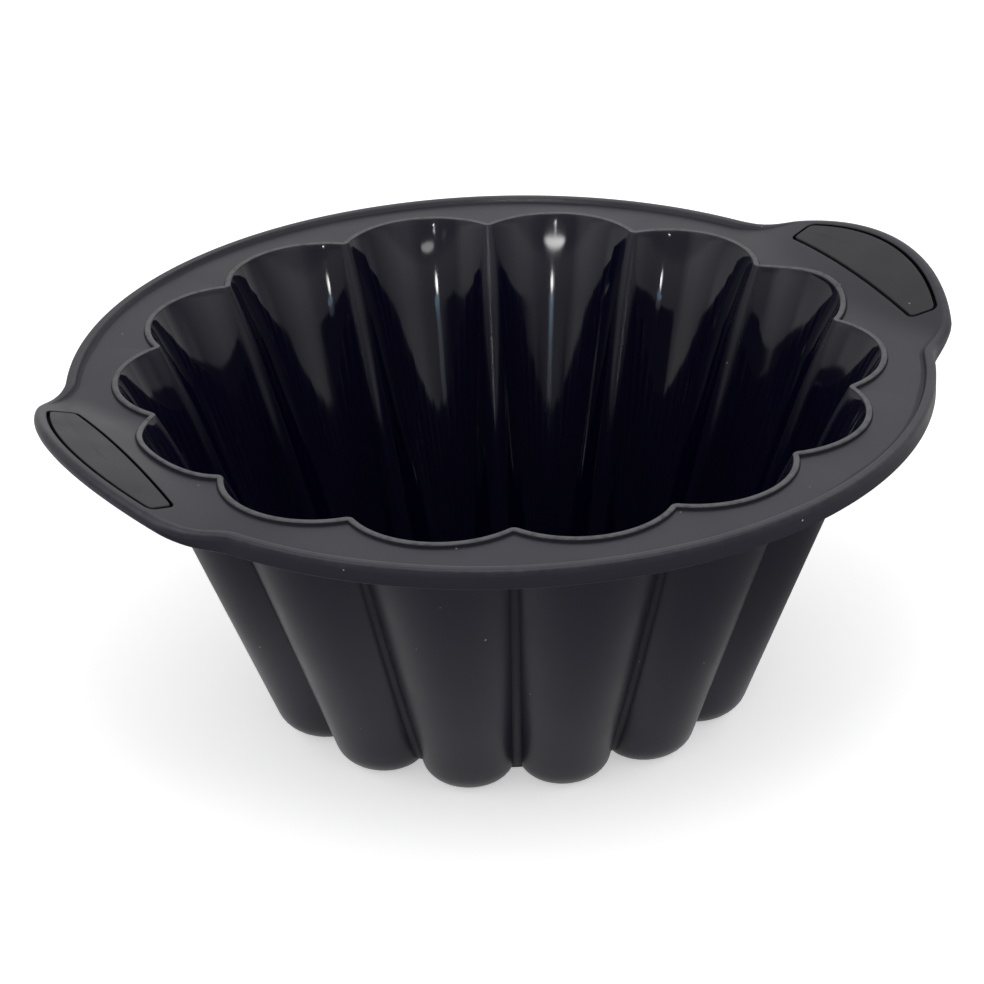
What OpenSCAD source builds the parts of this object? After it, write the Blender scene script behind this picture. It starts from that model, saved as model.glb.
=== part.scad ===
// Fluted silicone brioche mould with two lifting handles.
// A tapered cup with scooped flutes hangs from a flat flange. The rim is stiffened by a hidden steel
// wire, and each handle carries a rigid insert seated in a recess behind a narrow groove.
// Origin: centre of the underside of the base. +X runs through both handles, +Z is up.

/* [Cup] */
// Number of flutes round the cup
flutes = 14; // [12:1:16]
// Height of the mouth bead above the table
cup_h = 97.7; // [80:0.1:120]
// Thickness of the cup wall
wall = 2.1; // [1.5:0.1:3]
// Thickness of the base
base_t = 2.2; // [1.5:0.1:4]
// Distance from the axis to the outside of a flute at the mouth
mouth_r = 107.6; // [98:0.1:125]
// Distance from the axis to the outside of a flute at the base, before rounding
base_r = 69; // [60:0.1:78]
// Radius of a flute at the mouth, outside
flute_mouth_r = 27.3; // [24:0.1:32]
// Radius of a flute at the base, outside
flute_base_r = 11.7; // [10:0.1:16]
// Width of the flat-bottomed groove between two flutes, outside
groove_w = 2.4; // [1:0.1:4]
// Rounding of the ridge between two flutes at the mouth, inside
ridge_mouth_r = 2.5; // [2.2:0.1:4]
// Rounding of the ridge between two flutes at the base, inside
ridge_base_r = 4; // [3.4:0.1:6]
// Rounding of the outside edge of the base
foot_round = 6.6; // [3:0.1:9]
// Rounding of the inside edge of the base
inside_round = 5; // [2:0.1:7]

/* [Rim] */
// Width of the rim, from the outside of the flutes at the mouth to its edge
rim_out = 12.9; // [11:0.1:20]
// Height of the mouth bead above the flange beside it
bead_rise = 1; // [0.4:0.1:2]
// Fall of the flange from the bead to the rim
flange_fall = 0.5; // [0:0.1:1.5]
// Thickness of the flange
flange_t = 2.6; // [2:0.1:4]
// Width of the raised lip along the edge of the rim
lip_w = 3.1; // [2:0.1:5]
// Height of the lip above the flange
lip_rise = 1.2; // [0.4:0.1:2]
// Height of the rim's outer wall
rim_h = 5.7; // [5:0.1:9]
// Width of the thick edge that holds the wire
rim_w = 5.6; // [5:0.1:8]

/* [Handles] */
// How far a handle stands out past the round rim
handle_out = 12; // [8:0.1:20]
// Radius of a handle's outer edge in plan
handle_edge_r = 85; // [60:1:110]
// Angle from the handle's middle to where its corner starts
handle_corner = 18; // [15:0.5:22]
// Angle over which the corner runs back into the round rim
handle_run = 9; // [6:0.5:12]
// Upward slope of the handle
handle_slope = 15.5; // [13:0.5:20]
// How far inside the rim the slope starts
slope_in = 19.7; // [17:0.1:22]
// Radius of the handle's arch from end to end
arch_r = 270; // [200:5:800]
// Thickness of the handle at its edge
handle_t = 4.6; // [4.4:0.1:7]

/* [Handle inserts] */
// Length of an insert from end to end
insert_l = 71; // [40:0.5:72]
// Width of an insert at its middle, in plan
insert_w = 13.9; // [8:0.1:16]
// Thickness of an insert
insert_t = 1.6; // [1:0.1:2.2]
// Margin between an insert and the handle's outer edge, in plan
insert_margin = 4.4; // [3:0.1:7]
// Width of the groove round an insert
insert_groove = 0.9; // [0.4:0.1:2]
// Corner rounding of an insert
insert_corner_r = 1.5; // [1:0.1:4]
// How much nearer to the middle an insert's ends are on the side of the cup
insert_lean = 3.6; // [0:0.1:6]

/* [Rim wire] */
// Diameter of the wire
wire_d = 2.4; // [1.5:0.1:3]
// Distance from the rim's outer wall to the middle of the wire
wire_in = 3.1; // [2.8:0.1:3.4]
// Height of the middle of the wire above the underside of the rim
wire_up = 2.2; // [1.8:0.1:2.8]
// Clearance round a piece that sits in the silicone
seat_gap = 0.05; // [0.02:0.01:0.2]

/* [Hidden] */
$fn = 96;

silicone_colour = [0.24, 0.235, 0.26];
insert_colour = [0.27, 0.265, 0.285];
steel_colour = [0.72, 0.73, 0.74];

// Roundings of the mouth bead, of the rim's top and bottom edges, and of a handle's full-round edge
bead_round = 0.3;
top_round = 0.9;
bottom_round = 0.4;
handle_round = handle_t / 2;
// Half of the upright band that is left in a handle's full-round edge, as a share of its radius
edge_band = 0.05;
// Run of the bead's and the lip's steep flanks in plan, and width of the lip's rounded shoulder
bead_flank = 0.1;
lip_flank = 0.3;
lip_shoulder = 0.6;
// Height of the start of that shoulder, as a share of the lip's height
shoulder_start = 0.7;
// Fillets under the flange, where it meets the cup and the thick edge
cup_fillet = 1.2;
edge_fillet = 0.5;
// Step from a handle's rounded edge to its underside, and from there to the thick edge
tab_step = 0.6;
// Share of a groove's width that is flat, and how deep it runs into the rounded foot, as a share of
// that rounding
groove_flat = 0.75;
foot_dip = 0.5;
// Least rounding of a ridge, and the least by which its two flutes pass each other
ridge_least = 0.3;
ridge_pass = 0.4;
// A rounding is drawn with a point at each end and one in the middle, this share of its radius in
mid_arc = 1 - sqrt(0.5);
// Levels of the rings between the foot and the mouth, as shares of the cup's height
wall_levels = [0.3, 0.62];
// Places of the rings between the bead and the lip, as shares of the flange's width
flange_steps = [0.3, 0.65];
// Angles of the steps round the edges of the base, from flat to upright
foot_steps = [0, 30, 60, 90];

// A flute takes this many steps of the loft: two on each half ridge, the rest along its arc
flute_steps = 12;
ridge_steps = 2;
arc_steps = flute_steps - 2 * ridge_steps;
ring_n = flutes * flute_steps;
pitch = 360 / flutes;
half_pitch = pitch / 2;
ring_angles = [for (i = [0 : ring_n - 1]) half_pitch + i * 360 / ring_n];

rim_r = mouth_r + rim_out;
flange_z = cup_h - bead_rise;
flange_bottom_z = flange_z - flange_fall - flange_t;
rim_bottom_z = flange_z - flange_fall + lip_rise - rim_h;
handle_r = rim_r + handle_out;
handle_root = handle_corner + handle_run;
slope_x = rim_r - slope_in;

// Centre line and radius of a flute at height z, on the outside of the cup, and of a ridge inside it
function flute_c(z) = mix(base_r - flute_base_r, mouth_r - flute_mouth_r, z / cup_h);
function flute_r(z) = mix(flute_base_r, flute_mouth_r, z / cup_h);
function ridge_r(z) = mix(ridge_base_r, ridge_mouth_r, z / cup_h);

function turn(p, a) = [p[0] * cos(a) - p[1] * sin(a), p[0] * sin(a) + p[1] * cos(a)];
function root(x) = sqrt(max(0, x));
function ease(t) = let(u = min(1, max(0, t))) u * u * (3 - 2 * u);
function mix(a, b, t) = a + (b - a) * t;

// Points along a flute's arc, from the angle where it starts to the crest
function flute_arc(c, a, start) = [for (j = [0 : arc_steps / 2]) let(w = start * (1 - 2 * j / arc_steps))
    [c + a * cos(w), a * sin(w)]];

// Half a flute in plan, from the middle of a ridge to the crest, as seen from the crest's axis.
// Inside the cup the ridge is a fillet between two flutes.
function inner_half(c, a, ridge) = let(
    side = c * sin(half_pitch),
    fillet = max(ridge, side - a + ridge_pass, ridge_least),
    d = c * cos(half_pitch) + root((a + fillet) ^ 2 - side ^ 2),
    f = turn([d, 0], -half_pitch),
    to_flute = atan2(-f[1], c - f[0]),
    to_axis = 180 - half_pitch)
    concat(
        [for (j = [0 : ridge_steps - 1]) let(w = mix(to_axis, to_flute, j / ridge_steps))
            f + fillet * [cos(w), sin(w)]],
        flute_arc(c, a, atan2(f[1], f[0] - c)));

// Outside the cup it is a flat-bottomed groove, which dip lets run inwards at the foot.
function outer_half(c, a, dip) = let(
    side = c * sin(half_pitch),
    half_w = max(groove_w / 2, side - a),
    d = c * cos(half_pitch) + root(a ^ 2 - (side - half_w) ^ 2),
    edge = turn([d, half_w], -half_pitch))
    concat(
        [for (y = [0, half_w * groove_flat]) turn([d - dip, y], -half_pitch)],
        flute_arc(c, a, atan2(edge[1], edge[0] - c)));

// A closed ring of points from one half flute, mirrored and repeated
function ring(half, z) = [for (i = [1 : flutes], j = [0 : flute_steps - 1])
    let(mirrored = j > flute_steps / 2, p = half[mirrored ? flute_steps - j : j],
        q = turn([p[0], mirrored ? -p[1] : p[1]], i * pitch))
    [q[0], q[1], z]];

// Inside of the cup at height z, pushed outwards by grow
function inner_ring(z, grow = 0) =
    ring(inner_half(flute_c(z), flute_r(z) - wall + grow, ridge_r(z) - grow), z);
// Outside of the cup at height z, pulled in by inset, with the grooves run in by dip
function outer_ring(z, inset = 0, dip = 0) =
    ring(outer_half(flute_c(z), flute_r(z) - inset, dip), z);

// Handles: how much of the handle's section applies at angle a, and the outline in plan
function from_handle(a) = abs(a - 180 * round(a / 180));
function blend(a) = ease((handle_root - from_handle(a)) / handle_run);
function edge_arc(a) = let(c = handle_r - handle_edge_r, w = from_handle(a))
    c * cos(w) + root(handle_edge_r ^ 2 - (c * sin(w)) ^ 2);
function outline(a) = mix(rim_r, edge_arc(a), blend(a));

// Height of the sloping, arched handle plane over the flange, at a point in plan
function plane_h(x, y) = tan(handle_slope) * (abs(x) - slope_x)
    - (arch_r - root(arch_r ^ 2 - y ^ 2)) / cos(handle_slope);
// Top surface of the flange and handles, where out runs from 0 at the bead to 1 at the rim
function top_z(x, y, out = 1) = flange_z + max(-flange_fall * out, plane_h(x, y));

// A ring laid flat at height z, one laid over the top surface, and one at share t between two others
function flat(ring, z) = [for (p = ring) [p[0], p[1], z]];
function over_top(ring, out, lift = 0) = [for (p = ring) [p[0], p[1], top_z(p[0], p[1], out) + lift]];
function between(p, q, t) = over_top([for (i = [0 : ring_n - 1]) mix(p[i], q[i], t)], t);

// A ring at a distance in from the outline, raised over the top surface by lift. On the handles both
// change to handle_in and handle_lift.
function edge_ring(in, lift, handle_in, handle_lift) = [for (a = ring_angles)
    let(b = blend(a), r = outline(a) - mix(in, handle_in, b), x = r * cos(a), y = r * sin(a))
    [x, y, top_z(x, y) + mix(lift, handle_lift, b)]];

// A ring under the rim. Below a handle it moves to another distance in, and where drop is given
// it rises to that depth below the top surface.
function under_ring(in, handle_in, drop) = [for (a = ring_angles)
    let(b = blend(a), r = rim_r - mix(in, handle_in, b), x = r * cos(a), y = r * sin(a))
    [x, y, is_undef(drop) ? rim_bottom_z : mix(rim_bottom_z, top_z(x, y) - drop, b)]];

// Rings of the loft, from the middle of the base inside, over the rim, to the underside of the base.
// The bead follows the flange up on to the handles.
bead_foot = over_top(inner_ring(cup_h, wall + bead_flank), 0);
lip_foot = edge_ring(lip_w + lip_flank, 0, lip_w + lip_flank, 0);

inside_rings = concat(
    [for (w = foot_steps)
        inner_ring(base_t + inside_round * (1 - cos(w)), -inside_round * (1 - sin(w)))],
    [for (t = wall_levels) inner_ring(t * cup_h)],
    [over_top(inner_ring(cup_h), 0, bead_rise - 2 * bead_round)]);

bead_rings = [for (p = [[bead_round, bead_round / 2], [wall / 2, 0], [wall - bead_round, bead_round / 2]])
    over_top(inner_ring(cup_h, p[0]), 0, bead_rise - p[1])];

flange_rings = concat([bead_foot], [for (t = flange_steps) between(bead_foot, lip_foot, t)], [lip_foot]);

lip_rings = [
    edge_ring(lip_w, lip_rise * shoulder_start, lip_w, 0),
    edge_ring(lip_w - lip_shoulder, lip_rise, handle_round + tab_step, 0),
    edge_ring(top_round, lip_rise, handle_round, 0)];

edge_rings = [
    edge_ring(top_round * mid_arc, lip_rise - top_round * mid_arc,
        handle_round * mid_arc, -handle_round * mid_arc),
    edge_ring(0, lip_rise - top_round, 0, -handle_round * (1 - edge_band)),
    edge_ring(0, lip_rise - rim_h + bottom_round, 0, -handle_round * (1 + edge_band)),
    edge_ring(bottom_round * mid_arc, lip_rise - rim_h + bottom_round * mid_arc,
        handle_round * mid_arc, -handle_t + handle_round * mid_arc),
    edge_ring(bottom_round, lip_rise - rim_h, handle_round, -handle_t)];

// Underneath, a handle's underside runs back to the thick edge, which carries on round below it
under_rings = [
    under_ring(bottom_round + tab_step, tab_step, handle_t),
    under_ring(bottom_round + 2 * tab_step, 2 * tab_step),
    under_ring(rim_w - edge_fillet, rim_w - edge_fillet),
    flat(under_ring(rim_w, rim_w), flange_bottom_z),
    flat(outer_ring(cup_h, -cup_fillet), flange_bottom_z + flange_fall)];

outside_rings = concat(
    [outer_ring(flange_bottom_z - cup_fillet)],
    [for (t = [wall_levels[1], wall_levels[0]]) outer_ring(t * cup_h)],
    [for (i = [len(foot_steps) - 1 : -1 : 0]) let(w = foot_steps[i], out = 1 - sin(w))
        outer_ring(foot_round * (1 - cos(w)), foot_round * out, foot_round * foot_dip * out)]);

// Closed skin from a stack of rings, with a middle point at each end
module lofted(rings, first_z, last_z) {
    n = len(rings[0]);
    m = len(rings);
    points = concat([for (r = rings) for (p = r) p], [[0, 0, first_z], [0, 0, last_z]]);
    sides = [for (i = [0 : m - 2], k = [0 : n - 1]) let(k2 = (k + 1) % n, a = i * n, b = a + n)
        each [[a + k, b + k2, b + k], [a + k, a + k2, b + k2]]];
    first = [for (k = [0 : n - 1]) [m * n, (k + 1) % n, k]];
    last = [for (k = [0 : n - 1]) [m * n + 1, (m - 1) * n + k, (m - 1) * n + (k + 1) % n]];
    polyhedron(points = points, faces = concat(sides, first, last), convexity = 12);
}

// Outline of an insert in plan, grown for its recess
module insert_outline(grow = 0) {
    outer_r = handle_edge_r - insert_margin;
    outer_x = handle_r - insert_margin;
    inner_x = outer_x - insert_w;
    corner_y = insert_l / 2;
    offset(r = insert_corner_r + grow, $fn = 24)
        offset(delta = -insert_corner_r)
            intersection() {
                translate([outer_x - outer_r, 0]) circle(r = outer_r, $fn = 240);
                polygon([[inner_x, corner_y - insert_lean], [inner_x, insert_lean - corner_y],
                    [outer_x, -corner_y], [outer_x, corner_y]]);
            }
}

// Everything over the right-hand handle down to depth below its arched plane
module above_plane(depth) {
    difference() {
        translate([slope_x, -insert_l, 0]) cube([handle_out + slope_in, 2 * insert_l, 2 * cup_h]);
        translate([slope_x, 0, flange_z - depth]) rotate([0, 90 - handle_slope, 0])
            translate([arch_r, 0, 0]) cylinder(r = arch_r, h = 4 * cup_h, center = true, $fn = 360);
    }
}

// Seat for an insert in the right-hand handle
module recess() {
    intersection() {
        linear_extrude(height = 2 * cup_h) insert_outline(insert_groove);
        above_plane(insert_t + seat_gap);
    }
}

// An insert in the right-hand handle, flush with it
module handle_insert() {
    color(insert_colour)
        intersection() {
            linear_extrude(height = 2 * cup_h) insert_outline();
            difference() {
                above_plane(insert_t);
                above_plane(0);
            }
        }
}

// A ring of wire in the rim's thick edge, grown for its channel
module wire_ring(grow = 0) {
    translate([0, 0, rim_bottom_z + wire_up])
        rotate_extrude($fn = 180)
            translate([rim_r - wire_in, 0]) circle(d = wire_d + 2 * grow, $fn = 24);
}

// The whole cup, flange, rim and handles, moulded in one piece round the wire
module silicone_moulding() {
    color(silicone_colour)
        difference() {
            lofted(concat(inside_rings, bead_rings, flange_rings, lip_rings, edge_rings, under_rings,
                outside_rings), base_t, 0);
            wire_ring(seat_gap);
            recess();
            rotate([0, 0, 180]) recess();
        }
}

module handle_insert_left() {
    rotate([0, 0, 180]) handle_insert();
}

module handle_insert_right() {
    handle_insert();
}

module rim_wire() {
    color(steel_colour) wire_ring();
}

silicone_moulding();
handle_insert_left();
handle_insert_right();
rim_wire();
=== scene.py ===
import math

import bpy
import numpy as np
from mathutils import Matrix, Vector


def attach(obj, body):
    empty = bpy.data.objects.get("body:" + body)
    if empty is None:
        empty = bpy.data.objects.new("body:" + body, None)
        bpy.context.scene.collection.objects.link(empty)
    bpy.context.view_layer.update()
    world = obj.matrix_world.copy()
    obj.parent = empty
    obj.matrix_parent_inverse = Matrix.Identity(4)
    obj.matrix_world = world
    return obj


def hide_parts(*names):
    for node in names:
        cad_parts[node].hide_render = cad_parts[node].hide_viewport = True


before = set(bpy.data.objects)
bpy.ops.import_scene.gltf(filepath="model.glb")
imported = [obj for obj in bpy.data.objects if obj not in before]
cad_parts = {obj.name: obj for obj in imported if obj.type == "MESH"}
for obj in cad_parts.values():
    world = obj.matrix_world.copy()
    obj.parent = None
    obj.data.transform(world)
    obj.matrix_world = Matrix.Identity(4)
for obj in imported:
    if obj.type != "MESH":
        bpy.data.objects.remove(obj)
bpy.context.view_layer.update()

# Cup
# The deep fluted bowl that the dough rises in. It is pressed silicone about 2 mm thick, in one piece
# with the flange and the handles, and its ring of scooped flutes runs down to a rounded foot.
flutes = 14
cup_h = 0.0977
wall = 0.0021
base_t = 0.0022
mouth_r = 0.1076
base_r = 0.069
flute_mouth_r = 0.0273
flute_base_r = 0.0117
groove_w = 0.0024
ridge_mouth_r = 0.0025
ridge_base_r = 0.004
ridge_least = 0.0003
ridge_pass = 0.0004
foot_round = 0.0066
inside_round = 0.005
foot_dip = 0.5

# Inside, the wall thickens a little on the way up, and then flares over the last stretch to the mouth.
flare_h = 0.022
flare_end = 0.0003
wall_swell = 0.0011

# Points in half a flute, rings up the wall and round the foot, and how the middle of a face is drawn in.
ridge_steps = 7
arc_steps = 18
crease_spacing = 1.6
wall_rings = 26
foot_rings = 9
innermost = 0.02
floor_shares = (innermost, 0.35, 0.7, 0.95)

pitch = 2 * math.pi / flutes
half_pitch = pitch / 2


def mix(a, b, t):
    return a + (b - a) * t


def ease(t):
    u = np.clip(t, 0, 1)
    return u * u * (3 - 2 * u)


def flute_centre(z):
    return mix(base_r - flute_base_r, mouth_r - flute_mouth_r, z / cup_h)


def flute_radius(z):
    return mix(flute_base_r, flute_mouth_r, z / cup_h)


def ridge_radius(z):
    return mix(ridge_base_r, ridge_mouth_r, z / cup_h)


def ring_of(half, z):
    """A closed ring of points: half a flute, from a ridge to a crest, mirrored and repeated."""
    back = half[-2:0:-1] * [1, -1]
    flute = np.vstack([half, back])
    turns = [np.array([[math.cos(a), -math.sin(a)], [math.sin(a), math.cos(a)]])
             for a in (i * pitch for i in range(flutes))]
    plan = np.vstack([flute @ turn.T for turn in turns])
    return np.column_stack([plan, np.full(len(plan), z)])


def inner_ring(z, grow=0.0):
    """Inside of the cup at height z, moved outwards by grow: flutes that meet in rounded ridges."""
    centre = flute_centre(z)
    radius = flute_radius(z) - wall + grow
    side = centre * math.sin(half_pitch)
    fillet = max(ridge_radius(z) - grow, side - radius + ridge_pass, ridge_least)
    reach = centre * math.cos(half_pitch) + math.sqrt(max(0, (radius + fillet) ** 2 - side ** 2))
    middle = np.array([reach * math.cos(half_pitch), -reach * math.sin(half_pitch)])
    to_axis = math.pi - half_pitch
    to_flute = math.atan2(-middle[1], centre - middle[0])
    turn = mix(to_axis, to_flute, np.arange(ridge_steps) / ridge_steps)
    ridge = middle + fillet * np.column_stack([np.cos(turn), np.sin(turn)])
    start = math.atan2(middle[1], middle[0] - centre)
    sweep = start * (1 - np.arange(arc_steps + 1) / arc_steps)
    arc = np.column_stack([centre + radius * np.cos(sweep), radius * np.sin(sweep)])
    return ring_of(np.vstack([ridge, arc]), z)


def outer_ring(z, inset=0.0, dip=0.0):
    """Outside of the cup at height z: flutes that meet in flat grooves, with points close to the crease."""
    centre = flute_centre(z)
    radius = flute_radius(z) - inset
    side = centre * math.sin(half_pitch)
    half_w = max(groove_w / 2, side - radius)
    floor = centre * math.cos(half_pitch) + math.sqrt(max(0, radius ** 2 - (side - half_w) ** 2))
    across = half_w * (1 - (1 - np.arange(ridge_steps) / ridge_steps) ** 2)
    flat_part = np.column_stack([np.full(ridge_steps, floor - dip), across])
    back = np.array([[math.cos(half_pitch), math.sin(half_pitch)],
                     [-math.sin(half_pitch), math.cos(half_pitch)]])
    edge = np.array([floor, half_w]) @ back.T
    start = math.atan2(edge[1], edge[0] - centre)
    sweep = start * (1 - (np.arange(arc_steps + 1) / arc_steps) ** crease_spacing)
    arc = np.column_stack([centre + radius * np.cos(sweep), radius * np.sin(sweep)])
    return ring_of(np.vstack([flat_part @ back.T, arc]), z)


def at_height(ring, z, share=1.0):
    """A ring's plan laid flat at height z, and drawn in towards the axis to a share of its size."""
    return np.column_stack([ring[:, :2] * share, np.full(len(ring), z)])


def swell(z):
    """How far the polished inside of the wall stands out from its straight line, at height z."""
    per_height = wall_swell / (cup_h - flare_h)
    flare = (flare_end + per_height * cup_h) * max(0.0, 1 - (cup_h - z) / flare_h) ** 2
    return flare - per_height * z


quarter = np.linspace(0, math.pi / 2, foot_rings)
inside_floor = base_t + inside_round
flare_from = cup_h - flare_h
cup_inside = [at_height(inner_ring(base_t, -inside_round), base_t, share) for share in floor_shares]
cup_inside += [inner_ring(base_t + inside_round * (1 - math.cos(a)), -inside_round * (1 - math.sin(a)))
               for a in quarter]
cup_inside += [inner_ring(z, swell(z))
               for z in mix(inside_floor, flare_from, np.linspace(0, 1, wall_rings)[1:])]

# Flange, rim and handles
# The cup hangs from a thin flange. A bead stands round the mouth, a lip and a thick edge run round the
# rim, and on two sides the flange slopes up into an arched handle with a full-round edge.
rim_out = 0.0129
bead_rise = 0.001
bead_round = 0.0005
foot_gap = 0.0001
flange_fall = 0.0005
flange_t = 0.0026
lip_w = 0.0031
lip_rise = 0.0012
lip_flank = 0.0003
lip_shoulder = 0.0006
rim_h = 0.0057
rim_w = 0.0056
top_round = 0.0009
bottom_round = 0.0004
handle_out = 0.012
handle_edge_r = 0.085
handle_corner = math.radians(18)
handle_run = math.radians(9)
handle_slope = math.radians(15.5)
slope_in = 0.0197
arch_r = 0.27
handle_t = 0.0046
handle_round = handle_t / 2
kink_round = 0.0016
tab_step = 0.0006
cup_fillet = 0.0012
edge_fillet = 0.0005

# Rings over each stretch of the section. One lies close outside the bead, where the shade painted at its
# foot ends, and round a handle's edge the rings that make the rim's wall are kept just apart.
mouth_steps = 16
bead_steps = 9
round_steps = 7
flange_steps = 22
lip_steps = 11
shadow_end = 0.02
wall_shares = (0.33, 0.67)
kept_apart = 0.01

rim_r = mouth_r + rim_out
flange_z = cup_h - bead_rise
flange_bottom_z = flange_z - flange_fall - flange_t
rim_bottom_z = flange_z - flange_fall + lip_rise - rim_h
handle_r = rim_r + handle_out
slope_x = rim_r - slope_in


def smooth_max(a, b):
    """The larger of two heights, with the kink between them rounded."""
    gap = np.abs(a - b)
    return np.maximum(a, b) + np.maximum(0, kink_round - gap) ** 2 / (4 * kink_round)


def plane_height(x, y):
    """Height of the sloping, arched handle plane over the flange."""
    arch = (arch_r - np.sqrt(arch_r ** 2 - y ** 2)) / math.cos(handle_slope)
    return math.tan(handle_slope) * (np.abs(x) - slope_x) - arch


def top_height(x, y, out=1.0):
    """Height of the top surface, which falls a little from the bead, at out 0, to the lip, at out 1."""
    return flange_z + smooth_max(-flange_fall * out, plane_height(x, y))


def over_top(ring, out, lift=0.0):
    return np.column_stack([ring[:, :2], top_height(ring[:, 0], ring[:, 1], out) + lift])


bead_foot = over_top(inner_ring(cup_h, wall + foot_gap), 0)
angles = np.unwrap(np.arctan2(bead_foot[:, 1], bead_foot[:, 0]))
from_handle = np.abs(angles - math.pi * np.round(angles / math.pi))
blend = ease((handle_corner + handle_run - from_handle) / handle_run)
edge_centre = handle_r - handle_edge_r
edge_arc = (edge_centre * np.cos(from_handle)
            + np.sqrt(np.maximum(0, handle_edge_r ** 2 - (edge_centre * np.sin(from_handle)) ** 2)))
outline = mix(rim_r, edge_arc, blend)


def bead_ring(out, drop):
    """A ring over the bead, at out from the cup's inside and drop under the bead's top."""
    return over_top(inner_ring(cup_h, out), 0, bead_rise - drop)


def edge_ring(inward, lift, handle_inward, handle_lift):
    """A ring in from the outline and over the top surface, which on the handles takes other values."""
    reach = outline - mix(inward, handle_inward, blend)
    x, y = reach * np.cos(angles), reach * np.sin(angles)
    return np.column_stack([x, y, top_height(x, y) + mix(lift, handle_lift, blend)])


def under_ring(inward, handle_inward=None, drop=None):
    """A ring under the rim, which below a handle rises to drop under the top surface."""
    reach = rim_r - mix(inward, inward if handle_inward is None else handle_inward, blend)
    x, y = reach * np.cos(angles), reach * np.sin(angles)
    z = np.full(len(x), rim_bottom_z)
    return np.column_stack([x, y, z if drop is None else mix(z, top_height(x, y) - drop, blend)])


# The bead starts at the slope at which the flared inside reaches it, and turns over to its outer side.
round_turn = [(math.sin(a), math.cos(a)) for a in np.linspace(0, math.pi / 2, round_steps)]
flare_angle = math.atan(2 * (flare_end + wall_swell * cup_h / (cup_h - flare_h)) / flare_h
                        + (mouth_r - base_r) / cup_h)
bead_turn = [(math.sin(a), math.cos(flare_angle) - math.cos(a))
             for a in np.linspace(flare_angle, math.pi / 2, bead_steps)[1:]]
bead_start = bead_rise - bead_round * (1 - math.sin(flare_angle))
bead_flat = (flare_end + bead_round, wall - bead_round)

mouth_edge = top_height(*inner_ring(cup_h)[:, :2].T, 0) + bead_start
mouth_rings = [np.column_stack([inner_ring(z, swell(z))[:, :2],
                                mix(flare_from, mouth_edge, (z - cup_h + flare_h) / flare_h)])
               for z in mix(flare_from, cup_h, np.linspace(0, 1, mouth_steps)[1:])]
bead_rings = [bead_ring(flare_end + bead_round * out, bead_round * (1 - up)) for up, out in bead_turn]
bead_rings += [bead_ring(mix(*bead_flat, t), 0) for t in (1 / 3, 2 / 3)]
bead_rings += [bead_ring(wall - bead_round * (1 - s), bead_round * (1 - c)) for s, c in round_turn]

lip_inner = lip_w + lip_flank
lip_top = lip_w - lip_shoulder
lip_foot = edge_ring(lip_inner, 0, lip_inner, 0)
flange_rings = [over_top(mix(bead_foot, lip_foot, t), t)
                for t in (0, shadow_end, *np.linspace(0, 1, flange_steps)[1:-1])]
lip_rings = [edge_ring(mix(lip_inner, lip_top, t), lip_rise * ease(t),
                       mix(lip_inner, handle_round + tab_step, t), 0) for t in np.linspace(0, 1, lip_steps)]
lip_rings += [edge_ring(mix(lip_top, top_round, 0.5), lip_rise, handle_round + tab_step / 2, 0)]

top_edge = [edge_ring(top_round * (1 - s), lip_rise - top_round * (1 - c),
                      handle_round * (1 - s), -handle_round * (1 - c)) for s, c in round_turn]
side_edge = [edge_ring(0, mix(lip_rise - top_round, lip_rise - rim_h + bottom_round, t),
                       0, -handle_round * (1 + kept_apart * t)) for t in wall_shares]
low_edge = [edge_ring(bottom_round * (1 - c), lip_rise - rim_h + bottom_round * (1 - s),
                      handle_round * (1 - c), -handle_t + handle_round * (1 - s)) for s, c in round_turn]
edge_rings = top_edge + side_edge + low_edge

tab_under = bottom_round + 2 * tab_step
under_rings = [under_ring(bottom_round + tab_step, tab_step, handle_t),
               under_ring(tab_under, 2 * tab_step),
               under_ring(mix(tab_under, rim_w, 0.5), mix(2 * tab_step, rim_w, 0.5)),
               under_ring(rim_w - edge_fillet),
               at_height(under_ring(rim_w - edge_fillet / 3), rim_bottom_z + edge_fillet / 3),
               at_height(under_ring(rim_w), rim_bottom_z + edge_fillet),
               at_height(under_ring(rim_w), flange_bottom_z),
               at_height(outer_ring(cup_h, -cup_fillet * 2), flange_bottom_z + flange_fall / 2)]
under_rings += [at_height(outer_ring(flange_bottom_z, -cup_fillet * (1 - s)),
                          flange_bottom_z + flange_fall - cup_fillet * (1 - c)) for s, c in round_turn]

wall_outside = [outer_ring(z) for z in mix(flange_bottom_z + flange_fall - cup_fillet, foot_round,
                                           np.linspace(0, 1, wall_rings)[1:])]
foot_outside = [outer_ring(foot_round * (1 - math.cos(a)), foot_round * (1 - math.sin(a)),
                           foot_round * foot_dip * (1 - math.sin(a))) for a in quarter[-2::-1]]
underside = [at_height(foot_outside[-1], 0.0, share) for share in (0.9, 0.5, innermost)]
cup_outside = wall_outside + foot_outside + underside

inside_rings = cup_inside + mouth_rings
rings = inside_rings + bead_rings + flange_rings + lip_rings + edge_rings + under_rings + cup_outside
ring_count = len(angles)


def lofted(name, rings, materials=()):
    """A closed mesh object through a stack of rings of equal count."""
    count = len(rings[0])
    following = np.roll(np.arange(count), -1)
    faces = []
    for i in range(len(rings) - 1):
        a, b = i * count, (i + 1) * count
        quads = [a + np.arange(count), b + np.arange(count), b + following, a + following]
        faces += np.column_stack(quads).tolist()
    last = (len(rings) - 1) * count
    faces.append(list(range(count)))
    faces.append([last + k for k in range(count - 1, -1, -1)])
    mesh = bpy.data.meshes.new(name)
    mesh.from_pydata(np.vstack(rings).tolist(), [], faces)
    for material in materials:
        mesh.materials.append(material)
    mesh.shade_smooth()
    piece = bpy.data.objects.new(name, mesh)
    bpy.context.scene.collection.objects.link(piece)
    return piece


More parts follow.
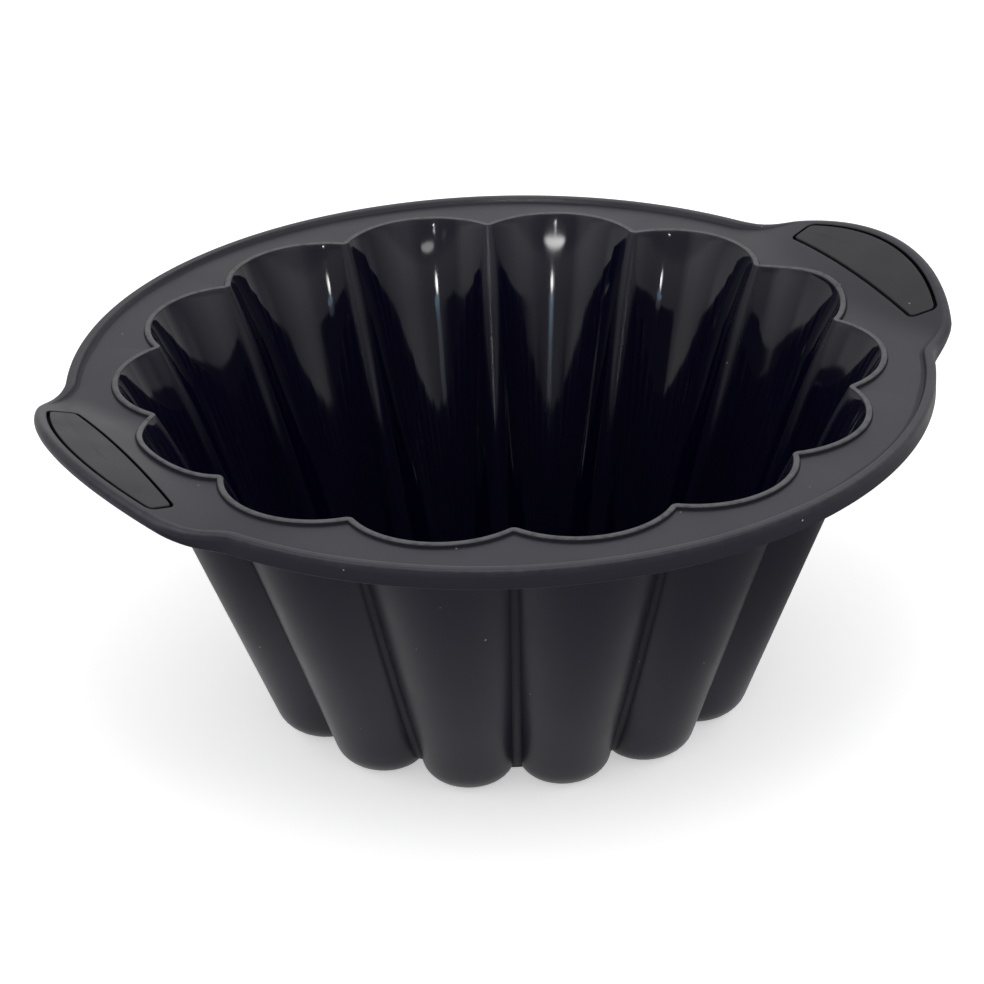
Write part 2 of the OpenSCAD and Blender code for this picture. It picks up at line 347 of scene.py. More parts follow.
def mark(mesh, name, values):
    """Stores a value or a vector with each point of a mesh, for its material."""
    kind, field = ("FLOAT", "value") if values.ndim == 1 else ("FLOAT_VECTOR", "vector")
    mesh.attributes.new(name, kind, "POINT").data.foreach_set(field, values.ravel())


def on_rings(given):
    """A value for each point, from what is given for some of the rings, by id, and zero on the others."""
    return np.concatenate([np.zeros(ring_count) + given.get(id(ring), 0.0) for ring in rings])


def all_round(half):
    """A value for each point of a ring, from the values over half a flute."""
    return np.tile(np.concatenate([half, half[-2:0:-1]]), flutes)


# Three finishes: satin outside, polished inside, and rough in the grooves round the handle inserts, painted
# near black as shade.
satin, polished, rough_shaded_groove = range(3)
moulding = lofted("moulding", rings, [None] * 3)

# Where each point lies along the wall: its place on the mouth's outline, and its distance down the section.
# On the cup's floor the place is its own, so that no lines meet in the middle.
floor_rings = len(floor_shares) + 1
runs = [np.linalg.norm(b - a, axis=1).mean() for a, b in zip(rings, rings[1:])]
along = np.concatenate([[0], np.cumsum(runs)])
mouth_plan = inner_ring(cup_h)[:, :2]
plans = [ring[:, :2] for ring in cup_inside[:floor_rings]] + [mouth_plan] * (len(rings) - floor_rings)
place = np.vstack([np.column_stack([plan, np.full(ring_count, s)]) for plan, s in zip(plans, along)])
mark(moulding.data, "wall_place", place)

# How much each point is lightened, partly as rubbing and partly as a painted highlight: most on the bead,
# where it is mostly painted highlight, less on the edges of the rim and of the handles, and least on the
# lip and the foot.
bead_wear_and_highlight = 2.2
low_edge_wear_and_highlight = 0.55
top_edge_wear_and_highlight = 0.35
soft_wear_and_highlight = 0.2
wear_and_highlight_stretches = ((bead_rings[:-2], bead_wear_and_highlight), (low_edge[round_steps // 2:], low_edge_wear_and_highlight),
                  (top_edge, top_edge_wear_and_highlight), (lip_rings[lip_steps // 2:], soft_wear_and_highlight),
                  (wall_outside[-1:] + foot_outside, soft_wear_and_highlight))
wear_and_highlight_rings = {id(ring): wear for stretch, wear in wear_and_highlight_stretches for ring in stretch}
mark(moulding.data, "wear_and_highlight", on_rings(wear_and_highlight_rings))

# How far each point of the inside lies on a ridge, where higher up the tool's polish is less bright.
dull_from = 0.035
dull_over = 0.05
steps_out = np.arange(ridge_steps + arc_steps + 1)
ridge_share = all_round(np.clip(ridge_steps + 1 - steps_out, 0, 2) / 2)
ridges = {id(ring): ridge_share * ease((ring[:, 2].mean() - dull_from) / dull_over)
          for ring in inside_rings}
mark(moulding.data, "on_ridge", on_rings(ridges))

# How much shade is painted on each point of the outside: in a groove between two flutes, and at the foot of
# the bead and of the lip, where little light gets in. The same share makes these places rougher.
groove_middle_shade = 0.45
crease_steps = 3
bead_side_shade = 0.6
bead_foot_shade = 1.0
lip_foot_shade = 0.5
groove_shade_share = all_round(np.interp(steps_out, [0, ridge_steps - 1, ridge_steps, ridge_steps + crease_steps],
                                   [groove_middle_shade, 1, 1, 0]))
crease_shades = {id(ring): groove_shade_share for ring in cup_outside}
crease_shades.update({id(ring): lip_foot_shade * (1 - blend) for ring in [flange_rings[-1]] + lip_rings[:3]})
# Painted shadow at the bead's outer side and foot.
crease_shades[id(bead_rings[-1])] = bead_side_shade
crease_shades[id(flange_rings[0])] = bead_foot_shade
mark(moulding.data, "painted_crease_shade", on_rings(crease_shades))

# Faces inside the cup take the polished finish, up and over the inner edge of the bead. The last face but
# one is the middle of the cup's floor.
polished_bead_rings = 5
polished_faces = (len(inside_rings) - 1 + polished_bead_rings) * ring_count
finish = np.full(len(moulding.data.polygons), satin)
finish[:polished_faces] = polished
finish[-2] = polished
moulding.data.polygons.foreach_set("material_index", finish)

# Seats of the handle inserts
# Each handle has a recess pressed into its top. An insert fills it but for a narrow dark groove all
# round, and the silicone turns over softly where it meets that groove.
insert_l = 0.071
insert_w = 0.0139
insert_t = 0.0016
insert_margin = 0.0044
insert_groove = 0.0009
insert_corner_r = 0.0015
insert_lean = 0.0036
seat_gap = 0.00005
seat_round = 0.00025
cutter_rise = 0.002
arc_points = 28
corner_points = 7
inner_corner_points = 9
side_points = 25
sharp_from = math.radians(38)

insert_outer_r = handle_edge_r - insert_margin
insert_outer_x = handle_r - insert_margin
insert_inner_x = insert_outer_x - insert_w
arc_centre_x = insert_outer_x - insert_outer_r


def insert_outline(grow=0.0):
    """Plan of a handle insert, grown: an arc outside, slanting ends, a straight side and round corners."""
    end = np.array([insert_w, insert_lean]) / math.hypot(insert_w, insert_lean)
    inwards = np.array([end[1], -end[0]])
    start = np.array([insert_inner_x, insert_l / 2 - insert_lean]) + insert_corner_r * inwards
    inner = start + end * (insert_corner_r - insert_corner_r * inwards[0]) / end[0]
    from_centre = inner - [arc_centre_x, 0]
    along_end = from_centre @ end
    to_arc = -along_end + math.sqrt(along_end ** 2 - from_centre @ from_centre
                                    + (insert_outer_r - insert_corner_r) ** 2)
    outer = inner + end * to_arc
    arc_angle = math.atan2(outer[1], outer[0] - arc_centre_x)
    end_angle = math.atan2(end[0], -end[1])
    corner = insert_corner_r + grow

    def turned(centre, radius, a0, a1, count):
        turn = np.linspace(a0, a1, count)
        return centre + radius * np.column_stack([np.cos(turn), np.sin(turn)])

    upper = np.vstack([turned([arc_centre_x, 0], insert_outer_r + grow, 0, arc_angle, arc_points)[1:],
                       turned(outer, corner, arc_angle, end_angle, corner_points)[1:],
                       turned(inner, corner, end_angle, math.pi, inner_corner_points)])
    side = np.column_stack([np.full(side_points, upper[-1][0]),
                            np.linspace(upper[-1][1], 0, side_points + 1)[1:]])
    half = np.vstack([upper, side])
    lower = half[-2::-1] * [1, -1]
    return np.vstack([half, lower, [[arc_centre_x + insert_outer_r + grow, 0]]])


def on_plane(plan, height):
    """Points of a plan, at a height above the arched plane of the right-hand handle."""
    return np.column_stack([plan, flange_z + plane_height(plan[:, 0], plan[:, 1]) + height])


def spine(plan):
    """The insert's middle line, as far as each point of its outline."""
    y = np.clip(plan[:, 1], -insert_l / 2 + insert_w / 2, insert_l / 2 - insert_w / 2)
    outer_x = arc_centre_x + np.sqrt(insert_outer_r ** 2 - y ** 2)
    return np.column_stack([(outer_x + insert_inner_x) / 2, y])


def flipped(piece, sign):
    """Turns a right-hand piece half a turn round the axis for sign -1."""
    if sign < 0:
        piece.data.transform(Matrix.Rotation(math.pi, 4, "Z"))
    return piece


seat_plan = insert_outline(insert_groove)
seat_middle = spine(seat_plan)
seat_depth = insert_t + seat_gap
seat_top = insert_outline(insert_groove + seat_round)
seat_rings = [on_plane(mix(seat_middle, seat_top, t), cutter_rise) for t in (innermost, 0.5, 1)]
seat_rings += [on_plane(insert_outline(insert_groove + seat_round * (1 - s)), -seat_round * (1 - c))
               for s, c in round_turn]
seat_wall_ring = len(seat_rings) - 1
seat_rings += [on_plane(seat_plan, h) for h in (-seat_depth / 2, -seat_depth)]
seat_rings += [on_plane(mix(seat_middle, seat_plan, t), -seat_depth) for t in (0.5, innermost)]

for sign in (1, -1):
    cutter = flipped(lofted("seat_cutter", seat_rings, [None] * 3), sign)
    # The groove's walls and floor take the finish that is painted near black as shade.
    cutter_finish = np.full(len(cutter.data.polygons), satin)
    cutter_finish[seat_wall_ring * len(seat_plan):] = rough_shaded_groove
    cutter.data.polygons.foreach_set("material_index", cutter_finish)
    bpy.context.view_layer.objects.active = moulding
    cut = moulding.modifiers.new("seat", "BOOLEAN")
    cut.operation = "DIFFERENCE"
    cut.solver = "EXACT"
    cut.object = cutter
    bpy.ops.object.modifier_apply(modifier=cut.name)
    bpy.data.objects.remove(cutter)

moulding.data.shade_smooth()
moulding.data.set_sharp_from_angle(angle=sharp_from)

# Silicone
# Pressed from one black silicone. The tool leaves the outside satin, and the inside polished with faint
# upright lines, so the cup shines like glass while the rest looks soft. Handling leaves dust and rubbing.
# On the outside, shade is painted darker into the grooves and creases, and the bead and edges are painted
# lighter, partly as rubbing and partly as a painted highlight.
outside_colour = (0.0125, 0.0108, 0.0200, 1)
inside_colour = (0.0009, 0.0006, 0.0078, 1)
# Painted shade: a darker colour for the grooves and creases, where little light gets in.
crease_shade_colour = (0.0060, 0.0050, 0.0110, 1)
# Painted shade: near black for the grooves round the inserts, where next to no light comes out.
groove_shade_colour = (0.0012, 0.0012, 0.0018, 1)
# Light grey laid on the bead and edges, both as rubbed silicone and as a painted highlight.
rubbed_and_highlight_colour = (0.070, 0.067, 0.075, 1)
dust_colour = (0.30, 0.29, 0.28, 1)

# Roughness, as a plain value or as the least and the most over the surface.
satin_rough = (0.31, 0.39)
hollow_rough = 0.8
polished_rough = (0.04, 0.09)
ridge_rough = 0.36
groove_rough = (0.7, 0.9)

# Noise seldom leaves this span. The scales of patches and of streaks are these shares of the grain's and
# of the lines', rubbing and the painted edge highlight show where its noise is high, and specks of dust
# vary in size.
noise_span = (0.3, 0.7)
patch_share = 0.03
streak_share = 0.2
wear_and_highlight_from, wear_and_highlight_to = 0.26, 0.68
speck_least, speck_spread = 0.4, 0.8


def fill(tree, node, **inputs):
    """Sets a node's inputs, by name or number, where an input is a value or another node's output."""
    for key, value in inputs.items():
        numbered = key[0] == "i" and key[1:].isdigit()
        socket = node.inputs[int(key[1:]) if numbered else key.replace("_", " ")]
        if isinstance(value, bpy.types.NodeSocket):
            tree.links.new(value, socket)
        else:
            socket.default_value = value


def add(tree, kind, settings=None, **inputs):
    """A new node with its settings and inputs."""
    node = tree.nodes.new(kind)
    for key, value in (settings or {}).items():
        setattr(node, key, value)
    fill(tree, node, **inputs)
    return node


def new_material(name):
    material = bpy.data.materials.new(name)
    material.use_nodes = True
    tree = material.node_tree
    tree.nodes.clear()
    shader = add(tree, "ShaderNodeBsdfPrincipled")
    add(tree, "ShaderNodeOutputMaterial", Surface=shader.outputs["BSDF"])
    return material, tree, shader


def new_group(name, takes, gives):
    """A shader node group with its input sockets and output node, from names and kinds of socket."""
    tree = bpy.data.node_groups.new(name, "ShaderNodeTree")
    for direction, sockets in (("INPUT", takes), ("OUTPUT", gives)):
        for socket, (kind, value) in sockets.items():
            made = tree.interface.new_socket(socket, in_out=direction, socket_type="NodeSocket" + kind)
            if direction == "INPUT" and value is not None:
                made.default_value = value
    return tree, tree.nodes.new("NodeGroupInput").outputs, tree.nodes.new("NodeGroupOutput")


def placed(tree, group, **inputs):
    return add(tree, "ShaderNodeGroup", {"node_tree": group}, **inputs).outputs


def worked(tree, operation, *values):
    """The result of an operation on one to three values."""
    numbered = {"i%d" % k: value for k, value in enumerate(values)}
    return add(tree, "ShaderNodeMath", {"operation": operation}, **numbered).outputs[0]


def ranged(tree, value, from_low, from_high, to_low=0.0, to_high=1.0, curve="LINEAR"):
    """A value moved from one range to another, and held to it."""
    return add(tree, "ShaderNodeMapRange", {"interpolation_type": curve}, Value=value, From_Min=from_low,
               From_Max=from_high, To_Min=to_low, To_Max=to_high).outputs[0]


def between(tree, share, first, second):
    """A value between two others."""
    return add(tree, "ShaderNodeMix", {"data_type": "FLOAT"}, i0=share, i2=first, i3=second).outputs[0]


def tinted(tree, share, first, second):
    """A colour between two others."""
    return add(tree, "ShaderNodeMix", {"data_type": "RGBA"}, i0=share, i6=first, i7=second).outputs[2]


def noise(tree, place, scale, detail, roughness):
    return add(tree, "ShaderNodeTexNoise", Vector=place, Scale=scale, Detail=detail,
               Roughness=roughness).outputs["Fac"]


def bumped(tree, height, strength, distance):
    return add(tree, "ShaderNodeBump", Height=height, Strength=strength, Distance=distance).outputs[0]


def marked(tree, name, output="Fac"):
    return add(tree, "ShaderNodeAttribute", {"attribute_name": name}).outputs[output]


moulded_grain, given, out = new_group(
    "moulded_grain", {"Place": ("Vector", None), "Scale": ("Float", 900.0)},
    {"Height": ("Float", None), "Patches": ("Float", None)})
patch_scale = worked(moulded_grain, "MULTIPLY", given["Scale"], patch_share)
fill(moulded_grain, out,
     Height=noise(moulded_grain, given["Place"], given["Scale"], detail=3.0, roughness=0.6),
     Patches=noise(moulded_grain, given["Place"], patch_scale, detail=2.0, roughness=0.5))

dust, given, out = new_group(
    "dust", {"Place": ("Vector", None), "Scale": ("Float", 300.0), "Share": ("Float", 0.1),
             "Size": ("Float", 0.2)},
    {"Mask": ("Float", None)})
cells = add(dust, "ShaderNodeTexVoronoi", Vector=given["Place"], Scale=given["Scale"], Randomness=1.0)
drawn = add(dust, "ShaderNodeSeparateColor", Color=cells.outputs["Color"]).outputs
held = worked(dust, "LESS_THAN", drawn[0], given["Share"])
speck_size = worked(dust, "MULTIPLY_ADD", drawn[1], speck_spread, speck_least)
speck_reach = worked(dust, "MULTIPLY", speck_size, given["Size"])
speck = worked(dust, "LESS_THAN", cells.outputs["Distance"], speck_reach)
fill(dust, out, Mask=worked(dust, "MULTIPLY", held, speck))

# Lightens an edge in broken patches, both as rubbing and as a painted highlight.
edge_wear_and_highlight, given, out = new_group(
    "edge_wear_and_highlight", {"Place": ("Vector", None), "Edge": ("Float", 0.0), "Scale": ("Float", 120.0),
                  "Amount": ("Float", 0.5)},
    {"Mask": ("Float", None)})
broken = noise(edge_wear_and_highlight, given["Place"], given["Scale"], detail=4.0, roughness=0.65)
wear_and_highlight_part = worked(edge_wear_and_highlight, "MULTIPLY", ranged(edge_wear_and_highlight, broken, wear_and_highlight_from, wear_and_highlight_to), given["Edge"])
fill(edge_wear_and_highlight, out, Mask=worked(edge_wear_and_highlight, "MULTIPLY", wear_and_highlight_part, given["Amount"]))

upright_lines, given, out = new_group(
    "upright_lines", {"Place": ("Vector", None), "Scale": ("Float", 900.0), "Stretch": ("Float", 0.02)},
    {"Height": ("Float", None), "Streaks": ("Float", None)})
squeeze = add(upright_lines, "ShaderNodeCombineXYZ", X=1.0, Y=1.0, Z=given["Stretch"]).outputs[0]
squeezed = add(upright_lines, "ShaderNodeVectorMath", {"operation": "MULTIPLY"}, i0=given["Place"],
               i1=squeeze).outputs[0]
streak_scale = worked(upright_lines, "MULTIPLY", given["Scale"], streak_share)
fill(upright_lines, out,
     Height=noise(upright_lines, squeezed, given["Scale"], detail=2.0, roughness=0.5),
     Streaks=noise(upright_lines, squeezed, streak_scale, detail=2.0, roughness=0.5))

satin_silicone, tree, shader = new_material("satin_silicone")
where = add(tree, "ShaderNodeTexCoord").outputs["Object"]
crease_shade = marked(tree, "painted_crease_shade")
grain = placed(tree, moulded_grain, Place=where, Scale=1600.0)
specks = placed(tree, dust, Place=where, Scale=520.0, Share=0.012, Size=0.13)
rubbed_and_highlight = placed(tree, edge_wear_and_highlight, Place=where, Edge=marked(tree, "wear_and_highlight"), Scale=380.0, Amount=0.7)
# Painted shade in the grooves and creases, where little light gets in.
shaded = tinted(tree, crease_shade, outside_colour, crease_shade_colour)
# The bead and the edges lighten, partly as rubbing and partly as a painted highlight.
body = tinted(tree, rubbed_and_highlight["Mask"], shaded, rubbed_and_highlight_colour)
rough = ranged(tree, grain["Patches"], *noise_span, *satin_rough)
fill(tree, shader, Base_Color=tinted(tree, specks["Mask"], body, dust_colour),
     Roughness=between(tree, crease_shade, rough, hollow_rough),
     Normal=bumped(tree, grain["Height"], strength=0.25, distance=0.00004), IOR=1.43)

polished_silicone, tree, shader = new_material("polished_silicone")
where = add(tree, "ShaderNodeTexCoord").outputs["Object"]
lined = placed(tree, upright_lines, Place=marked(tree, "wall_place", "Vector"), Scale=700.0, Stretch=0.03)
specks = placed(tree, dust, Place=where, Scale=300.0, Share=0.002, Size=0.07)
rough = ranged(tree, lined["Streaks"], *noise_span, *polished_rough)
fill(tree, shader, Base_Color=tinted(tree, specks["Mask"], inside_colour, dust_colour),
     Roughness=between(tree, marked(tree, "on_ridge"), rough, ridge_rough),
     Normal=bumped(tree, lined["Height"], strength=0.4, distance=0.00002), IOR=1.41)

# The narrow groove round an insert keeps the tool's rough finish. Its near-black colour is painted shade,
# and its reflection is turned down, since next to no light comes out of it.
groove_shade_silicone, tree, shader = new_material("groove_shade_silicone")
where = add(tree, "ShaderNodeTexCoord").outputs["Object"]
grain = placed(tree, moulded_grain, Place=where, Scale=2600.0)
fill(tree, shader, Base_Color=groove_shade_colour,
     Roughness=ranged(tree, grain["Height"], *noise_span, *groove_rough), IOR=1.20)

for slot, material in enumerate((satin_silicone, polished_silicone, groove_shade_silicone)):
    moulding.data.materials[slot] = material
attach(moulding, "root")
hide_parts("silicone_moulding")

# Handle inserts
# A smooth rigid plate lies flush in each handle. Moulded by itself in satin black plastic, with its
# top edge rounded off, and bonded into its recess before the mould leaves the tool.
insert_round = 0.0003
insert_colour = (0.0100, 0.0092, 0.0135, 1)
insert_rough = (0.42, 0.5)

satin_plastic, tree, shader = new_material("satin_plastic")
where = add(tree, "ShaderNodeTexCoord").outputs["Object"]
grain = placed(tree, moulded_grain, Place=where, Scale=2200.0)
specks = placed(tree, dust, Place=where, Scale=300.0, Share=0.02, Size=0.1)
fill(tree, shader, Base_Color=tinted(tree, specks["Mask"], insert_colour, dust_colour),
     Roughness=ranged(tree, grain["Patches"], *noise_span, *insert_rough),
     Normal=bumped(tree, grain["Height"], strength=0.2, distance=0.00002), IOR=1.46)

plate_plan = insert_outline()
plate_middle = spine(plate_plan)
plate_top = insert_outline(-insert_round)
plate_rings = [on_plane(mix(plate_middle, plate_top, t), 0) for t in (innermost, 0.2, 0.4, 0.6, 0.8, 0.95)]
plate_rings += [on_plane(insert_outline(-insert_round * (1 - s)), -insert_round * (1 - c))
                for s, c in round_turn]
plate_rings += [on_plane(mix(plate_middle, plate_plan, t), -insert_t) for t in (1, 0.5, innermost)]

for side, sign in (("left", -1), ("right", 1)):
    plate = flipped(lofted("insert_" + side, plate_rings, [satin_plastic]), sign)
    plate.data.set_sharp_from_angle(angle=sharp_from)
    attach(plate, "root")
    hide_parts("handle_insert_" + side)

# Rim wire
# A ring of drawn stainless wire, welded into a hoop and moulded into the rim's thick edge, which keeps
# the filled mould from folding. The silicone hides it all round.
steel_colour = (0.56, 0.57, 0.58, 1)
draw_mark_colour = (0.42, 0.43, 0.44, 1)
steel_rough = (0.22, 0.36)

drawn_steel, tree, shader = new_material("drawn_steel")
where = add(tree, "ShaderNodeTexCoord").outputs["Object"]
lined = placed(tree, upright_lines, Place=where, Scale=1500.0, Stretch=8.0)
fill(tree, shader, Base_Color=tinted(tree, lined["Streaks"], steel_colour, draw_mark_colour),
     Roughness=ranged(tree, lined["Height"], *noise_span, *steel_rough),
     Normal=bumped(tree, lined["Height"], strength=0.3, distance=0.00002), Metallic=1.0)

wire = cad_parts["rim_wire"]
wire.data.materials.clear()
wire.data.materials.append(drawn_steel)

# Floor and surroundings
# A white table under the mould and white sheets round it, as in a light tent. The mould's finish shows
# mostly what it reflects, so the sheets and the dark gaps between them give it its greys.
floor_half = 4.0
floor_colour = (0.90, 0.90, 0.90, 1)
floor_rough = 0.9
floor_lift = 0.46

# In reflections the table glows close to the foot, and further out it dims, most of all in front.
glow_lift = 0.30
glow_from, glow_to = 0.075, 0.11
lit_centre = (-0.010, 0.004, 0)
table_end = (0.080, 0.138)
front_azimuth = math.radians(262)
front_from, front_to = -0.08, 0.05
beside_level = 0.62
front_level = 0.19
far_front_level = 0.45
far_from, far_to = 0.17, 0.32


def reach_towards(tree, place, azimuth):
    """How far a place or a direction reaches towards a point of the compass."""
    heading = (math.cos(azimuth), math.sin(azimuth), 0)
    return add(tree, "ShaderNodeVectorMath", {"operation": "DOT_PRODUCT"}, i0=place,
               i1=heading).outputs["Value"]


floor_white, tree, shader = new_material("floor_white")
rays = add(tree, "ShaderNodeLightPath").outputs
on_floor = add(tree, "ShaderNodeNewGeometry").outputs["Position"]
reach = add(tree, "ShaderNodeVectorMath", {"operation": "DISTANCE"}, i0=on_floor,
            i1=lit_centre).outputs["Value"]
outside = ranged(tree, reach, *table_end, curve="SMOOTHSTEP")
frontwards = reach_towards(tree, on_floor, front_azimuth)
in_front = ranged(tree, frontwards, front_from, front_to, curve="SMOOTHSTEP")
out_front = ranged(tree, reach, far_from, far_to, front_level, far_front_level)
off_table = between(tree, outside, 1.0, between(tree, in_front, beside_level, out_front))
mirrored = between(tree, rays["Is Glossy Ray"], 1.0, off_table)
near = ranged(tree, reach, glow_from, glow_to, glow_lift, 0.0, curve="SMOOTHSTEP")
glossy_glow = worked(tree, "MULTIPLY", near, rays["Is Glossy Ray"])
fill(tree, shader, Base_Color=tinted(tree, mirrored, (0, 0, 0, 1), floor_colour), Roughness=floor_rough,
     Specular_IOR_Level=0.0, Emission_Color=(1, 1, 1, 1),
     Emission_Strength=worked(tree, "MULTIPLY_ADD", rays["Is Camera Ray"], floor_lift, glossy_glow))

mesh = bpy.data.meshes.new("floor")
mesh.from_pydata([(x * floor_half, y * floor_half, 0) for x, y in ((-1, -1), (1, -1), (1, 1), (-1, 1))], [],
                 [(0, 1, 2, 3)])
mesh.materials.append(floor_white)
floor = bpy.data.objects.new("floor", mesh)
bpy.context.scene.collection.objects.link(floor)

# How bright the tent's light is on the mould, and how bright the tent is in reflections: round the
# compass, in degrees, with how many degrees up from the table the dark below the sheets reaches.
tent_light = 0.90
tent_levels = [(0, 0.59), (40, 0.62), (63, 0.67), (92, 0.34), (130, 0.57), (150, 0.77),
               (170, 1.02), (185, 1.2), (197, 1.12), (208, 0.58), (232, 0.60), (250, 0.55), (262, 0.66),
               (275, 0.98), (290, 1.06), (312, 0.78), (330, 0.52), (345, 0.40), (360, 0.80)]
tent_sills = [(0, 0), (95, 0), (120, 1), (130, 3), (140, 6), (150, 8), (160, 9), (172, 9), (180, 8.7),
              (190, 9.7), (198, 10.8), (206, 13), (213, 15.25), (250, 15.25), (258, 14.9), (264, 13.9),
              (274, 12.8), (285, 11.5), (296, 10.4), (306, 9.6), (325, 9.3), (335, 8), (348, 6), (360, 0)]
below_sill = 0.08
sill_edge = 0.4

# How bright the sheets are from the table up to overhead, on the camera's side and on the far side.
sheet_bands = [(0, 0.75), (10, 0.75), (14, 0.92), (18, 1.03), (21, 1.17), (24, 1.27), (26, 0.95),
               (28, 0.90), (33, 1.05), (45, 1.55), (90, 1.55)]
far_bands = [(0, 1.35), (12, 1.35), (19, 1.0), (23, 1.0), (38, 1.75), (90, 1.75)]
sheet_azimuth = math.radians(243)
facing_from, facing_to = -0.05, 0.12
overhead = 90.0


def stepped(tree, share, stops):
    """A value that follows (degrees, value) stops, as share goes from 0 to 1 up to the last of them."""
    whole = stops[-1][0]
    most = max(value for degrees, value in stops)
    ramp = add(tree, "ShaderNodeValToRGB", Fac=share)
    while len(ramp.color_ramp.elements) < len(stops):
        ramp.color_ramp.elements.new(0.5)
    for element, (degrees, value) in zip(ramp.color_ramp.elements, stops):
        element.position = degrees / whole
        element.color = (value / most, value / most, value / most, 1)
    return worked(tree, "MULTIPLY", ramp.outputs["Color"], most)


world = bpy.data.worlds.new("tent")
bpy.context.scene.world = world
world.use_nodes = True
tree = world.node_tree
tree.nodes.clear()
rays = add(tree, "ShaderNodeLightPath").outputs
seen = worked(tree, "MAXIMUM", rays["Is Camera Ray"], rays["Is Transmission Ray"])
level = ranged(tree, seen, 0.0, 1.0, tent_light, 1.0)
direction = add(tree, "ShaderNodeTexCoord").outputs["Generated"]
parts = add(tree, "ShaderNodeSeparateXYZ", Vector=direction).outputs
circle = worked(tree, "DIVIDE", worked(tree, "ARCTAN2", parts["Y"], parts["X"]), 2 * math.pi)
compass = worked(tree, "FLOORED_MODULO", circle, 1.0)
elevation = worked(tree, "DEGREES", worked(tree, "ARCSINE", parts["Z"]))
over_sill = worked(tree, "SUBTRACT", elevation, stepped(tree, compass, tent_sills))
lit = ranged(tree, over_sill, -sill_edge, sill_edge, curve="SMOOTHSTEP")
facing = reach_towards(tree, direction, sheet_azimuth)
on_sheet = ranged(tree, facing, facing_from, facing_to, curve="SMOOTHSTEP")
height_share = worked(tree, "DIVIDE", elevation, overhead)
banded = between(tree, on_sheet, stepped(tree, height_share, far_bands),
                 stepped(tree, height_share, sheet_bands))
sheets = worked(tree, "MULTIPLY", banded, stepped(tree, compass, tent_levels))
tent = between(tree, lit, below_sill, sheets)
strength = between(tree, rays["Is Glossy Ray"], level, tent)
background = add(tree, "ShaderNodeBackground", Color=(1, 1, 1, 1), Strength=strength)
add(tree, "ShaderNodeOutputWorld", Surface=background.outputs[0])

# Lamps
# A hard lamp beside the camera draws the thin bright streaks inside the flutes, and two cool strips under
# it lengthen them. Two pin lamps put glints under the bead, and a box overhead lights the edges.
lamp_target = Vector((0, 0, 0.08))
lamp_distance = 1.5
streak_aim = Vector((0.052, 0.093, 0.080))


def towards(azimuth, elevation):
    a, e = math.radians(azimuth), math.radians(elevation)
    return Vector((math.cos(a) * math.cos(e), math.sin(a) * math.cos(e), math.sin(e)))


def lamp(name, azimuth, elevation, width, height, radiance, colour=(1, 1, 1), beam=180.0, aim=lamp_target):
    """An oval lamp by where it stands, its size, how bright its face looks and its beam's angle."""
    half_beam = math.radians(beam) / 2
    narrowed = 1 - half_beam / math.tan(half_beam) if beam < 180 else 1
    light = bpy.data.lights.new(name, "AREA")
    light.shape = "ELLIPSE"
    light.size = width
    light.size_y = height
    light.color = colour
    light.energy = radiance * narrowed * math.pi * math.pi * width * height / 4
    light.spread = math.radians(beam)
    piece = bpy.data.objects.new(name, light)
    piece.location = lamp_target + towards(azimuth, elevation) * lamp_distance
    piece.rotation_euler = (aim - piece.location).to_track_quat("-Z", "Y").to_euler()
    bpy.context.scene.collection.objects.link(piece)


lamp("hard_lamp", azimuth=238.0, elevation=21.4, width=0.10, height=0.135, radiance=60, beam=6.5,
     aim=streak_aim)
lamp("cool_strip", azimuth=239.2, elevation=17.75, width=0.21, height=0.05, radiance=3.6,
     colour=(0.40, 0.72, 1.0))
lamp("low_strip", azimuth=239.6, elevation=15.6, width=0.21, height=0.062, radiance=0.8,
     colour=(0.78, 0.82, 1.0))
lamp("pin_lamp", azimuth=235, elevation=34.4, width=0.05, height=0.014, radiance=110)
lamp("lower_pin_lamp", azimuth=235, elevation=32.8, width=0.05, height=0.012, radiance=45)
lamp("top_box", azimuth=243, elevation=66, width=0.5, height=0.5, radiance=3.5)

# Two curved cards behind the camera each shine into one flute, where they make a round glow under the
# bead. All of a card faces its flute, and it shines only straight ahead.
card_distance = 1.6
card_columns = 24
card_fade = 0.6


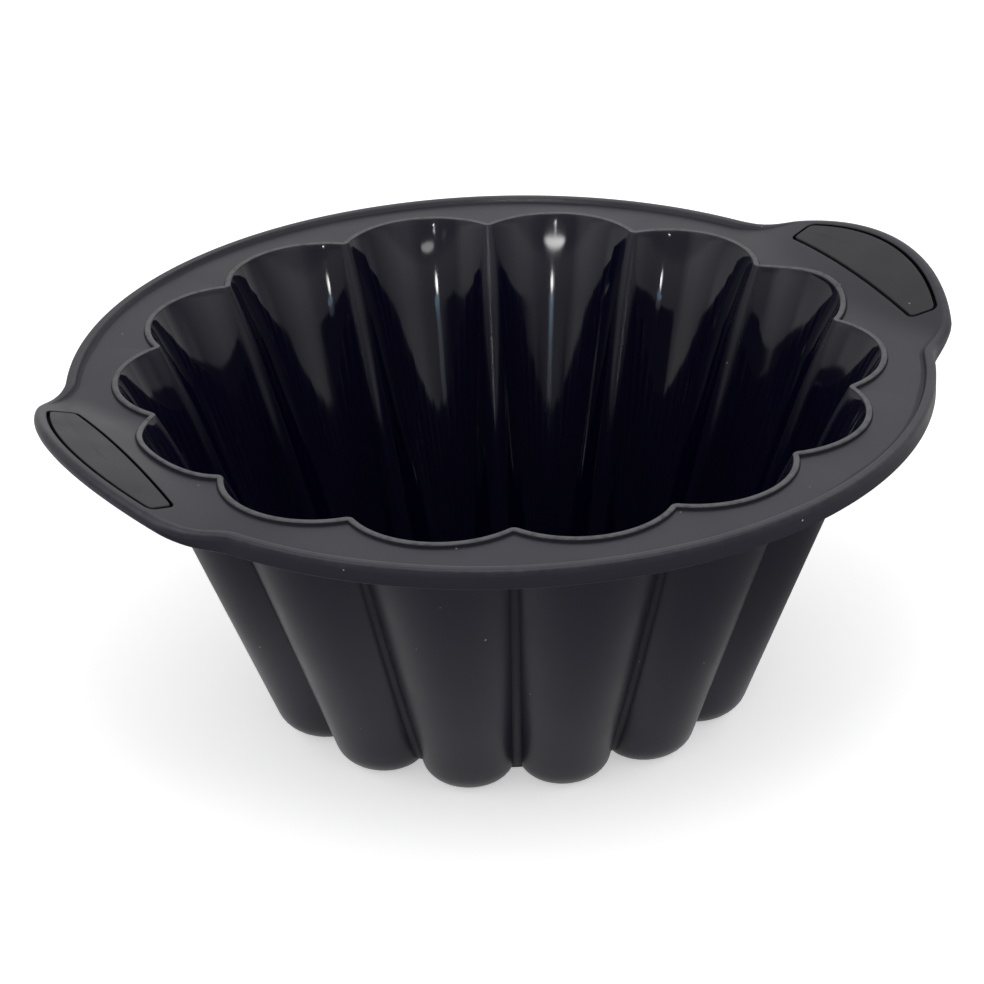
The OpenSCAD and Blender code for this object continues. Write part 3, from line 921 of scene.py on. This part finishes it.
def glow_card(name, aim, azimuth, elevation, across, up, radiance, aim_near, aim_far):
    """A card that lights what lies within aim_near of its aim, and nothing further off than aim_far."""
    material, tree, shader = new_material(name)
    turned_away = add(tree, "ShaderNodeLayerWeight").outputs["Facing"]
    aimed = ranged(tree, turned_away, 1 - math.cos(aim_near / card_distance),
                   1 - math.cos(aim_far / card_distance), 1.0, 0.0, curve="SMOOTHSTEP")
    from_middle = add(tree, "ShaderNodeVectorMath", {"operation": "LENGTH"},
                      i0=marked(tree, "card_place", "Vector")).outputs["Value"]
    oval = ranged(tree, from_middle, card_fade, 1.0, 1.0, 0.0, curve="SMOOTHSTEP")
    fill(tree, shader, Base_Color=(0, 0, 0, 1), Emission_Color=(1, 1, 1, 1), Emission_Strength=radiance,
         Specular_IOR_Level=0.0, Alpha=worked(tree, "MULTIPLY", aimed, oval))

    grid = [(u, v) for v in (-1, 1) for u in np.linspace(-1, 1, card_columns + 1)]
    points = [aim + towards(azimuth + u * across / 2, elevation + v * up / 2) * card_distance
              for u, v in grid]
    mesh = bpy.data.meshes.new(name)
    mesh.from_pydata([list(point) for point in points], [],
                     [(k, k + 1, k + card_columns + 2, k + card_columns + 1) for k in range(card_columns)])
    mark(mesh, "card_place", np.array([(u, v, 0) for u, v in grid]))
    mesh.materials.append(material)
    mesh.shade_smooth()
    mesh.normals_split_custom_set_from_vertices([(aim - point).normalized() for point in points])
    card = bpy.data.objects.new(name, mesh)
    bpy.context.scene.collection.objects.link(card)


glow_card("wide_card", Vector((0.0600, 0.0875, 0.0905)), azimuth=235.5, elevation=27.9, across=36.0, up=3.0,
          radiance=22.0, aim_near=0.014, aim_far=0.028)
glow_card("small_card", Vector((0.0272, 0.0980, 0.0903)), azimuth=247.5, elevation=27.8, across=23.0,
          up=2.6, radiance=7.0, aim_near=0.010, aim_far=0.027)

# Camera
# A long lens at arm's length, looking down into the cup from in front of the left-hand handle.
camera_at = Vector((-0.53231, -1.04272, 0.65374))
camera_azimuth = math.radians(63.117)
camera_fall = math.radians(26.947)
camera_roll = math.radians(-1.8)
lens_mm = 170.97
sensor_mm = 36.0

view_dir = Vector((math.cos(camera_azimuth) * math.cos(camera_fall),
                   math.sin(camera_azimuth) * math.cos(camera_fall), -math.sin(camera_fall)))
camera_data = bpy.data.cameras.new("camera")
camera_data.lens = lens_mm
camera_data.sensor_width = sensor_mm
camera = bpy.data.objects.new("camera", camera_data)
turned = view_dir.to_track_quat("-Z", "Y").to_matrix().to_4x4() @ Matrix.Rotation(camera_roll, 4, "Z")
camera.matrix_world = Matrix.Translation(camera_at) @ turned
bpy.context.scene.collection.objects.link(camera)
bpy.context.scene.camera = camera
bpy.context.scene.view_settings.view_transform = "Standard"
